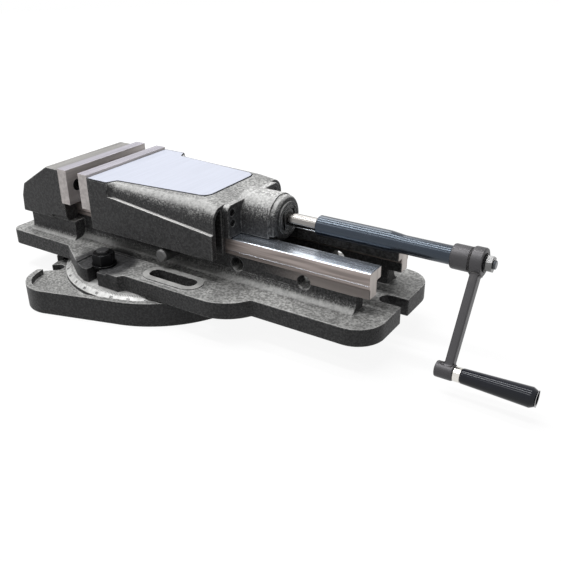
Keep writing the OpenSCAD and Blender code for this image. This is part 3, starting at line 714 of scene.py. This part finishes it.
def machined_material(name: str, cast: Finish,
        *cuts: tuple[Finish, Callable[[Graph], Socket]]) -> bpy.types.Material:
    """A casting with machined faces.

    Args:
        name: Name of the material.
        cast: Finish of the painted skin.
        cuts: Pairs of a finish and of what takes the graph and gives a socket that is 1 where
            that finish shows.

    Returns:
        The material.
    """
    g = Graph(name)
    look = cast.look(g)
    for finish, where in cuts:
        look = layered(g, look, finish.look(g), where(g))
    g.show(look)
    g.shader.inputs["Specular IOR Level"].default_value = PAINT_GLOSS
    return g.material


@dataclass(frozen=True)
class Smoothing:
    """How a CAD node's mesh is joined up, rounded along its edges and shaded."""

    weld_mm: float = 0.002
    flat_deg: float = 0.4
    sharp_deg: float = 32.0
    segments: int = 2
    weight: int = 80

    def add(self, piece: bpy.types.Object, edge_mm: float) -> None:
        """Adds the modifiers to a piece, whose own mesh stays as it is.

        Args:
            piece: The CAD node's object.
            edge_mm: How far its sharp edges are rounded.
        """
        weld = piece.modifiers.new("joined", "WELD")
        weld.merge_threshold = self.weld_mm * MM
        flat = piece.modifiers.new("flats", "DECIMATE")
        flat.decimate_type = "DISSOLVE"
        flat.angle_limit = math.radians(self.flat_deg)
        bevel = piece.modifiers.new("edges", "BEVEL")
        bevel.width = edge_mm * MM
        bevel.segments = self.segments
        bevel.limit_method = "ANGLE"
        bevel.angle_limit = math.radians(self.sharp_deg)
        bevel.use_clamp_overlap = False
        bevel.miter_outer = "MITER_ARC"
        shading = piece.modifiers.new("shading", "WEIGHTED_NORMAL")
        shading.weight = self.weight


SMOOTHING = Smoothing()


def dress(node: str, material: bpy.types.Material, edge_mm: float) -> None:
    """Gives a CAD node its finish and rounded edges.

    Args:
        node: Name of the CAD node.
        material: The material for all of it.
        edge_mm: How far its sharp edges are rounded.
    """
    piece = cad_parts[node]
    if not piece.material_slots:
        piece.data.materials.append(material)
    for place in piece.material_slots:
        place.material = material
    SMOOTHING.add(piece, edge_mm)
    LOG.info("dressed %s", node)


def mesh_of(form: bmesh.types.BMesh, name: str) -> bpy.types.Mesh:
    """Turns a finished form into a mesh, and frees the form.

    Args:
        form: The form.
        name: Name of the mesh.

    Returns:
        The mesh.
    """
    mesh = bpy.data.meshes.new(name)
    form.to_mesh(mesh)
    form.free()
    return mesh


def new_piece(name: str, mesh: bpy.types.Mesh, material: bpy.types.Material, body: str) -> None:
    """Adds a mesh as a piece that rides on a body.

    Args:
        name: Name of the piece.
        mesh: Its mesh, in the frame.
        material: Its material.
        body: The CAD body that it moves with.
    """
    piece = bpy.data.objects.new(name, mesh)
    bpy.context.scene.collection.objects.link(piece)
    piece.data.materials.clear()
    piece.data.materials.append(material)
    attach(piece, body)
    LOG.info("made %s on %s", name, body)


@dataclass(frozen=True)
class Thread:
    """Ridge of a screw thread, wound round a straight shaft. All sizes are in mm."""

    radius: float
    pitch: float
    depth: float
    steps: int = 24
    fade_steps: int = 8
    section: tuple[Ramp, ...] = ((-0.32, -0.1), (-0.14, 1.0), (0.14, 1.0), (0.32, -0.1))

    def ridge(self, name: str, start: Vector, along: Vector, length: float) -> bpy.types.Mesh:
        """Winds the ridge, which fades out at both ends.

        Args:
            name: Name of the mesh.
            start: Where the thread starts, on the shaft's axis.
            along: Unit direction of the shaft.
            length: Length of the threaded part.

        Returns:
            The ridge's mesh.
        """
        pitch, depth = self.pitch * MM, self.depth * MM
        count = int(length * MM / pitch * self.steps)
        side = along.orthogonal().normalized()
        other = along.cross(side)
        form = bmesh.new()
        rings = []
        for i in range(count + 1):
            turn = 2 * math.pi * i / self.steps
            out = side * math.cos(turn) + other * math.sin(turn)
            fade = min(1.0, i / self.fade_steps, (count - i) / self.fade_steps)
            centre = start * MM + along * (pitch * i / self.steps)
            ring = []
            for shift, height in self.section:
                reach = self.radius * MM + depth * (height if height < 0 else height * fade)
                ring.append(form.verts.new(centre + along * (shift * pitch) + out * reach))
            rings.append(ring)
        sides = len(self.section)
        for near, far in zip(rings, rings[1:]):
            for k in range(sides):
                n = (k + 1) % sides
                form.faces.new((near[k], near[n], far[n], far[k]))
        form.faces.new(rings[0][::-1])
        form.faces.new(rings[-1])
        bmesh.ops.recalc_face_normals(form, faces=form.faces)
        mesh = mesh_of(form, name)
        for face in mesh.polygons:
            face.use_smooth = True
        return mesh


@dataclass
class SwivelBase:
    """Round base with its graduated cone, and the clamping bolts that ride on the bed."""

    table_r: float = 135.0
    cone_w: float = 10.0
    cone_drop: float = 5.5
    top_z: float = 35.5
    cone_margin: float = 0.2
    tick_w: float = 0.5
    tick_h: float = 0.06
    tick_start: float = 0.4
    tick_lengths: dict[int, float] = field(default_factory=lambda: {10: 4.8, 5: 3.6, 1: 2.4})
    figure_every: int = 10
    figure_h: float = 5.2
    figure_rise: float = 0.72
    figure_gap: float = 0.4
    figure_bold: float = 0.14
    figure_steps: int = 3
    figure_weld: float = 1e-7
    bolt_at: Ramp = CLAMP_AT
    bolt_thread: Thread = Thread(radius=8.0, pitch=2.0, depth=0.35)
    thread_z: Ramp = (74.0, 77.0)

    def on_cone(self, turn: float, down: float, across: float, lift: float) -> Vector:
        """A point on the cone.

        Args:
            turn: Angle round the swivel axis, in radians.
            down: Distance down the slope from the cone's upper edge.
            across: Distance along the cone's circle.
            lift: Height over the slope.

        Returns:
            The point, in metres.
        """
        slope = math.hypot(self.cone_w, self.cone_drop)
        out, drop = self.cone_w / slope, self.cone_drop / slope
        r = self.table_r + down * out + lift * drop
        z = self.top_z - down * drop + lift * out
        at = turn + across / r
        return Vector((r * math.cos(at), r * math.sin(at), z)) * MM

    def cone(self, g: Graph) -> Socket:
        """Shows the turned cone and all inside it.

        Args:
            g: The material's graph.

        Returns:
            1 on them.
        """
        x, y, z = g.axes()
        inside = g.below(g.span_of(x, y), self.table_r + self.cone_w + self.cone_margin)
        high = g.above(z, self.top_z - self.cone_drop - self.cone_margin)
        return g.times(inside, high)

    def ticks(self) -> bpy.types.Mesh:
        """A line for each degree, longer at fives and tens.

        Returns:
            All the lines in one mesh.
        """
        quads = ((0, 1, 2, 3), (4, 5, 6, 7), (0, 1, 5, 4), (1, 2, 6, 5), (2, 3, 7, 6),
            (3, 0, 4, 7))
        half = self.tick_w / 2
        form = bmesh.new()
        for degree in range(360):
            length = next(v for every, v in self.tick_lengths.items() if degree % every == 0)
            outline = ((0, -half), (0, half), (length, half), (length, -half))
            corners = [
                form.verts.new(
                    self.on_cone(math.radians(degree), self.tick_start + down, across, lift))
                for lift in (-self.tick_h, self.tick_h)
                for down, across in outline
            ]
            for quad in quads:
                form.faces.new([corners[i] for i in quad])
        bmesh.ops.recalc_face_normals(form, faces=form.faces)
        return mesh_of(form, "scale_ticks")

    def figures(self) -> bpy.types.Mesh:
        """A number at every tenth degree, from 0 to 90 and back.

        Returns:
            All the numbers in one mesh.
        """
        longest = self.tick_lengths[self.figure_every]
        foot = self.tick_start + longest + self.figure_gap + self.figure_h * self.figure_rise
        joined = bmesh.new()
        for degree in range(0, 360, self.figure_every):
            shown = degree % 180
            curve = bpy.data.curves.new("figure", "FONT")
            curve.body = str(min(shown, 180 - shown))
            curve.align_x = "CENTER"
            curve.size = self.figure_h
            curve.extrude = self.tick_h
            curve.offset = self.figure_bold
            curve.resolution_u = self.figure_steps
            text = bpy.data.objects.new("figure", curve)
            mesh = bpy.data.meshes.new_from_object(text)
            for v in mesh.vertices:
                v.co = self.on_cone(math.radians(degree), foot - v.co.y, v.co.x, v.co.z)
            joined.from_mesh(mesh)
            bpy.data.objects.remove(text)
            bpy.data.curves.remove(curve)
            bpy.data.meshes.remove(mesh)
        bmesh.ops.remove_doubles(joined, verts=joined.verts, dist=self.figure_weld)
        return mesh_of(joined, "scale_figures")

    def build(self) -> None:
        """Dresses the base, its bolts and the scale."""
        dress("swivel_base", machined_material("base_casting", PAINT, (CONE, self.cone)),
            edge_mm=0.8)
        ink = plain_material("scale_ink", INK)
        new_piece("scale_ticks", self.ticks(), ink, "base")
        new_piece("scale_figures", self.figures(), ink, "base")
        black = plain_material("black_bolts", BLACK)
        for node in ("swivel_washers", "swivel_nut_near", "swivel_nut_far"):
            dress(node, black, edge_mm=0.4)
        bare = plain_material("bolt_steel", STUD)
        dress("swivel_bolts", bare, edge_mm=0.4)
        low, high = self.thread_z
        for name, side in (("bolt_thread_near", -1), ("bolt_thread_far", 1)):
            foot = Vector((self.bolt_at[0], side * self.bolt_at[1], low))
            ridge = self.bolt_thread.ridge(name, foot, Vector(UP), high - low)
            new_piece(name, ridge, bare, "bed")
        dress("swivel_pivot", plain_material("pivot_steel", PLATE), edge_mm=0.5)


@dataclass
class Bed:
    """Bed casting with its ground rails, the fixed jaw and the nut block."""

    rail_z: float = 113.0
    band_h: float = 21.2
    rail_in: float = 24.0
    rail_out: float = 53.8
    rail_x1: float = 356.0
    rail_soft: float = 0.3
    end_z: float = 79.0
    wall_out: float = 51.5
    foot_from: float = 200.0
    foot_fade: float = 90.0
    rim_z: float = 61.0
    rim_from: float = 70.0
    rim_soft: float = 0.1
    nut_at: Ramp = CLAMP_AT
    nut_reach: float = 38.0
    nut_fade: float = 16.0
    jaw_z: float = 163.5
    jaw_soft: float = 0.15
    skin: float = 0.2
    deep_skin: float = 0.3

    def rails(self, g: Graph) -> Socket:
        """Shows the rails' ground tops and outer sides.

        Args:
            g: The material's graph.

        Returns:
            1 on them.
        """
        _, y, z = g.axes()
        high = g.above(z, self.rail_z - self.band_h)
        outer = g.above(g.size(y), self.rail_in + self.skin, self.rail_soft)
        top = g.above(z, self.rail_z - 2 * self.skin)
        return g.times(high, g.math(Operation.LARGER, outer, top))

    def rail_ends(self, g: Graph) -> Socket:
        """1 on the rails' brushed ends at the crank."""
        x, _, z = g.axes()
        return g.times(g.above(x, self.rail_x1 - self.deep_skin), g.above(z, self.end_z))

    def rail_feet(self, g: Graph) -> Socket:
        """Shows the dull band below the rails' ground sides.

        Args:
            g: The material's graph.

        Returns:
            1 on it, less towards the fixed jaw.
        """
        x, y, z = g.axes()
        high = g.above(z, self.end_z)
        out = g.above(g.size(y), self.wall_out - self.deep_skin)
        clear = g.below(g.size(y), self.rail_out)
        along = g.above(x, self.foot_from, self.foot_fade)
        return g.times(g.times(high, along), g.times(out, clear))

    def nut_seats(self, g: Graph) -> Socket:
        """Shows the darker paint without a pale top, round the clamping nuts.

        Args:
            g: The material's graph.

        Returns:
            1 on it.
        """
        x, y, _ = g.axes()
        along = g.less(x, self.nut_at[0] * MM)
        out = g.less(g.size(y), self.nut_at[1] * MM)
        return g.below(g.span_of(along, out), self.nut_reach, self.nut_fade)

    def jaw_top(self, g: Graph) -> Socket:
        """1 on the fixed jaw's level top."""
        _, _, z = g.axes()
        return g.above(z, self.jaw_z - self.deep_skin, self.jaw_soft)

    def slot_rims(self, g: Graph) -> Socket:
        """Shows the raised rims round the lugs' slots.

        Args:
            g: The material's graph.

        Returns:
            1 on them.
        """
        _, y, z = g.axes()
        high = g.above(z, self.rim_z - self.skin, self.rim_soft)
        low = g.below(z, self.rim_z + self.skin, self.rim_soft)
        return g.times(g.times(high, low), g.above(g.size(y), self.rim_from))

    def build(self) -> None:
        """Dresses the bed, the fixed jaw and what is bolted to them."""
        casting = machined_material("bed_casting", PAINT, (NUT_SEAT_PAINT, self.nut_seats),
            (RAIL_FOOT, self.rail_feet), (RAIL_TOP, self.rails), (RAIL_END, self.rail_ends),
            (RIMS, self.slot_rims))
        dress("vise_bed", casting, edge_mm=1.2)
        jaw = machined_material("fixed_jaw_casting", FIXED_PAINT, (FIXED_TOP, self.jaw_top))
        dress("fixed_jaw", jaw, edge_mm=1.6)
        dress("fixed_jaw_plate", plain_material("jaw_plate_steel", PLATE), edge_mm=0.6)
        black = plain_material("screw_black", BLACK)
        for node in ("fixed_jaw_bolts", "fixed_plate_screws", "nut_screws"):
            dress(node, black, edge_mm=0.3)
        paint = plain_material("nut_block_paint", PAINT, gloss=PAINT_GLOSS)
        dress("nut_block", paint, edge_mm=1.0)
        dress("spindle_nut", plain_material("nut_bronze", BRONZE), edge_mm=0.3)
        dress("locating_pin", plain_material("pin_steel", PIN), edge_mm=0.5)


@dataclass
class MovingJaw:
    """Moving jaw with its ground top, plate, hold-down plates and spindle housing."""

    land_z: float = 163.5
    land_skin: float = 0.12
    land_soft: float = 0.08
    step_h: float = 0.95
    step_soft: float = 0.05
    ledge_y: float = 77.0
    ledge_top: float = 150.0
    ledge_ramp: Ramp = (0.55, 0.8)

    def land(self, g: Graph) -> Socket:
        """1 on the ground land on top."""
        _, _, z = g.axes()
        return g.above(z, self.land_z - self.land_skin, self.land_soft)

    def land_edge(self, g: Graph) -> Socket:
        """Shows the step round the ground land, which gets painted shade.

        Args:
            g: The material's graph.

        Returns:
            1 on it.
        """
        _, _, z = g.axes()
        high = g.above(z, self.land_z - self.step_h, self.step_soft)
        return g.times(high, g.rest(self.land(g)))

    def ledge(self, g: Graph) -> Socket:
        """Shows the bright ledge along the side.

        Args:
            g: The material's graph.

        Returns:
            1 on it.
        """
        _, y, z = g.axes()
        out = g.above(g.size(y), self.ledge_y)
        level = g.step(g.upward(), self.ledge_ramp)
        return g.times(g.times(out, level), g.below(z, self.ledge_top))

    def build(self) -> None:
        """Dresses the moving jaw and what is bolted to it."""
        casting = machined_material("moving_jaw_casting", JAW_PAINT, (JAW_TOP, self.land),
            (JAW_STEP_SHADE, self.land_edge), (LEDGE, self.ledge))
        dress("moving_jaw", casting, edge_mm=1.0)
        dress("moving_jaw_plate", plain_material("moving_plate_steel", PLATE), edge_mm=0.6)
        black = plain_material("jaw_screw_black", BLACK)
        for node in ("moving_plate_screws", "hold_down_screws", "housing_screws"):
            dress(node, black, edge_mm=0.3)
        dress("hold_down_plates", plain_material("hold_down_steel", PLATE), edge_mm=0.5)
        housing = plain_material("housing_paint", HOUSING_PAINT, gloss=PAINT_GLOSS)
        dress("spindle_housing", housing, edge_mm=0.8)
        dress("gland_ring", plain_material("gland_paint", GLAND_PAINT, gloss=0.3), edge_mm=0.25)
        dress("thrust_pad", plain_material("pad_steel", PLATE), edge_mm=0.4)


@dataclass
class Spindle:
    """Booster spindle, its pistons and the drive rod with its blued sleeve."""

    steel_edge: float = 0.4
    seal_edge: float = 0.2
    sleeve_edge: float = 0.5
    sleeve_gloss: float = 0.75
    sleeve_tint: Colour = (0.70, 0.84, 1.0)

    def build(self) -> None:
        """Dresses the turning pieces on the spindle's axis."""
        steel = plain_material("spindle_steel", ROD)
        for node in ("booster_spindle", "spindle_end_cap", "main_piston", "plunger", "drive_rod"):
            dress(node, steel, self.steel_edge)
        rubber = plain_material("seal_rubber", RUBBER)
        for node in ("piston_seal", "plunger_seal"):
            dress(node, rubber, self.seal_edge)
        blued = plain_material("sleeve_blued", BLUED, gloss=self.sleeve_gloss,
            tint=self.sleeve_tint)
        dress("clutch_sleeve", blued, self.sleeve_edge)


@dataclass
class Crank:
    """Crank arm with its nut, and the turning grip."""

    stud_x: Ramp = (477.3, 479.6)
    stud_z: float = 134.0
    stud_thread: Thread = Thread(radius=5.0, pitch=1.5, depth=0.28)
    grip_coat: float = 0.5
    grip_gloss: float = 0.06
    grip_tint: Colour = (0.7, 0.82, 1.0)

    def build(self) -> None:
        """Dresses the crank and the grip, and threads the stud's end."""
        dress("crank_arm", plain_material("crank_steel", FORGED), edge_mm=1.8)
        dress("crank_nut", plain_material("crank_nut_zinc", ZINC), edge_mm=0.4)
        dress("crank_washer", plain_material("washer_black", BLACK), edge_mm=0.3)
        near, far = self.stud_x
        start = Vector((near, 0.0, self.stud_z))
        ridge = self.stud_thread.ridge("stud_thread", start, Vector(ALONG_RAILS), far - near)
        stud = plain_material("stud_steel", PIN)
        new_piece("stud_thread", ridge, stud, "drive")
        dress("grip_pin", plain_material("grip_pin_steel", ROD), edge_mm=0.4)
        dress("grip_ferrule", plain_material("ferrule_nickel", NICKEL), edge_mm=0.5)
        gloss = plain_material("grip_gloss", GLOSS, self.grip_coat, self.grip_gloss,
            self.grip_tint)
        dress("grip", gloss, edge_mm=1.6)


@dataclass(frozen=True)
class Lamp:
    """Soft rectangular lamp whose length lies along the rails."""

    name: str
    place: tuple[float, float, float]
    size: tuple[float, float]
    watts: float

    def hang(self, aim: Vector) -> None:
        """Hangs the lamp.

        Args:
            aim: The point that it faces, in metres.
        """
        data = bpy.data.lights.new(self.name, "AREA")
        data.shape = "RECTANGLE"
        data.size, data.size_y = self.size
        data.energy = self.watts
        lamp = bpy.data.objects.new(self.name, data)
        back = (Vector(self.place) - aim).normalized()
        across = back.cross(Vector(ALONG_RAILS)).normalized()
        turn = Matrix((across.cross(back), across, back)).transposed().to_4x4()
        lamp.matrix_world = Matrix.Translation(self.place) @ turn
        bpy.context.scene.collection.objects.link(lamp)


@dataclass
class Studio:
    """White floor, soft lamps and the camera at the photograph's angle."""

    focal_px: float = 722.7
    image_px: float = 561.0
    sensor_mm: float = 36.0
    nearest: float = 0.02
    azimuth: float = 33.62
    elevation: float = 26.42
    roll: float = -0.88
    distance: float = 1.00059
    aim_px: tuple[float, float] = (217.16, 245.12)
    aim: Vector = field(default_factory=lambda: Vector((0.095, 0.0, 0.070)))
    fill: float = 0.10
    floor_r: float = 4.0
    floor_sides: int = 64
    floor_at: tuple[float, float, float] = (0.1, 0.0, -0.0002)
    floor_colour: Colour = (0.13, 0.13, 0.13)
    glow_reach: Ramp = (0.45, 0.95)
    glow_levels: Ramp = (0.91, 1.0)
    lamps: tuple[Lamp, ...] = (
        Lamp("overhead_near", (-0.25, -0.42, 1.65), (1.7, 0.14), 13.5),
        Lamp("overhead_far", (-0.25, 0.28, 1.70), (1.7, 0.14), 13.5),
        Lamp("strip", (-0.4, -0.95, 1.25), (1.7, 0.12), 3.2),
        Lamp("behind", (-0.8, 1.3, 1.6), (0.9, 0.9), 9.0),
        Lamp("spark", (-0.7, -0.1, 1.4), (0.2, 0.2), 3.0),
    )

    def camera(self) -> None:
        """Places the camera that sees the vise as in the photograph."""
        az, el, roll = (math.radians(v) for v in (self.azimuth, self.elevation, self.roll))
        back = Vector((math.sin(az) * math.cos(el), -math.cos(az) * math.cos(el), math.sin(el)))
        right = Vector((math.cos(az), math.sin(az), 0.0))
        up = back.cross(right)
        right, up = (
            right * math.cos(roll) + up * math.sin(roll),
            up * math.cos(roll) - right * math.sin(roll),
        )
        centre = self.image_px / 2
        u, v = ((p - centre) / self.focal_px for p in self.aim_px)
        eye = self.aim + back * self.distance - right * u * self.distance + up * v * self.distance
        data = bpy.data.cameras.new("camera")
        data.sensor_width = self.sensor_mm
        data.lens = self.focal_px / self.image_px * data.sensor_width
        data.clip_start = self.nearest
        camera = bpy.data.objects.new("camera", data)
        turn = Matrix((right, up, back)).transposed().to_4x4()
        camera.matrix_world = Matrix.Translation(eye) @ turn
        bpy.context.scene.collection.objects.link(camera)
        bpy.context.scene.camera = camera

    def seen(self, tree: bpy.types.NodeTree) -> Socket:
        """Tells rays that look at the surroundings from rays that light the vise.

        Args:
            tree: The node tree to work in.

        Returns:
            1 for rays from the camera, a mirror or glass, else 0.
        """
        path = tree.nodes.new("ShaderNodeLightPath")
        total = path.outputs["Is Camera Ray"]
        for name in ("Is Glossy Ray", "Is Transmission Ray"):
            add = tree.nodes.new("ShaderNodeMath")
            add.operation = Operation.LARGER.value
            tree.links.new(total, add.inputs[0])
            tree.links.new(path.outputs[name], add.inputs[1])
            total = add.outputs[0]
        return total

    def world(self) -> None:
        """White to look at, and a low even light on the vise."""
        world = bpy.data.worlds.new("studio")
        bpy.context.scene.world = world
        world.use_nodes = True
        tree = world.node_tree
        background = tree.nodes["Background"]
        background.inputs["Color"].default_value = (*WHITE, 1.0)
        strength = tree.nodes.new("ShaderNodeMapRange")
        tree.links.new(self.seen(tree), strength.inputs["Value"])
        strength.inputs["To Min"].default_value = self.fill
        strength.inputs["To Max"].default_value = 1.0
        tree.links.new(strength.outputs["Result"], background.inputs["Strength"])

    def floor_material(self) -> bpy.types.Material:
        """Pale paint that glows white to look at, a little less close to the vise.

        Returns:
            The material.
        """
        material = bpy.data.materials.new("floor_white")
        material.use_nodes = True
        tree = material.node_tree
        tree.nodes.clear()
        diffuse = tree.nodes.new("ShaderNodeBsdfDiffuse")
        diffuse.inputs["Color"].default_value = (*self.floor_colour, 1.0)
        glow = tree.nodes.new("ShaderNodeEmission")
        place = tree.nodes.new("ShaderNodeTexCoord")
        away = tree.nodes.new("ShaderNodeVectorMath")
        away.operation = "LENGTH"
        tree.links.new(place.outputs["Object"], away.inputs[0])
        level = tree.nodes.new("ShaderNodeMapRange")
        tree.links.new(away.outputs["Value"], level.inputs["Value"])
        names = ("From Min", "From Max", "To Min", "To Max")
        for name, value in zip(names, self.glow_reach + self.glow_levels):
            level.inputs[name].default_value = value
        scale = tree.nodes.new("ShaderNodeMath")
        scale.operation = Operation.MULTIPLY.value
        tree.links.new(self.seen(tree), scale.inputs[0])
        tree.links.new(level.outputs["Result"], scale.inputs[1])
        tree.links.new(scale.outputs[0], glow.inputs["Strength"])
        both = tree.nodes.new("ShaderNodeAddShader")
        output = tree.nodes.new("ShaderNodeOutputMaterial")
        tree.links.new(diffuse.outputs[0], both.inputs[0])
        tree.links.new(glow.outputs[0], both.inputs[1])
        tree.links.new(both.outputs[0], output.inputs["Surface"])
        return material

    def floor(self) -> None:
        """White floor that keeps the vise's shadow."""
        form = bmesh.new()
        bmesh.ops.create_circle(form, cap_ends=True, radius=self.floor_r,
            segments=self.floor_sides)
        floor = bpy.data.objects.new("floor", mesh_of(form, "floor"))
        floor.location = self.floor_at
        bpy.context.scene.collection.objects.link(floor)
        floor.data.materials.append(self.floor_material())

    def build(self) -> None:
        """Sets up the whole studio."""
        bpy.context.scene.view_settings.view_transform = "Standard"
        self.camera()
        self.world()
        self.floor()
        for lamp in self.lamps:
            lamp.hang(self.aim)
        LOG.info("studio is ready")


def main() -> None:
    """Builds the studio and every sub-assembly in order."""
    logging.basicConfig(level=logging.INFO, format="%(name)s: %(message)s")
    for part in (Studio(), SwivelBase(), Bed(), MovingJaw(), Spindle(), Crank()):
        LOG.info("building %s", type(part).__name__)
        part.build()


if __name__ == "__main__":
    main()
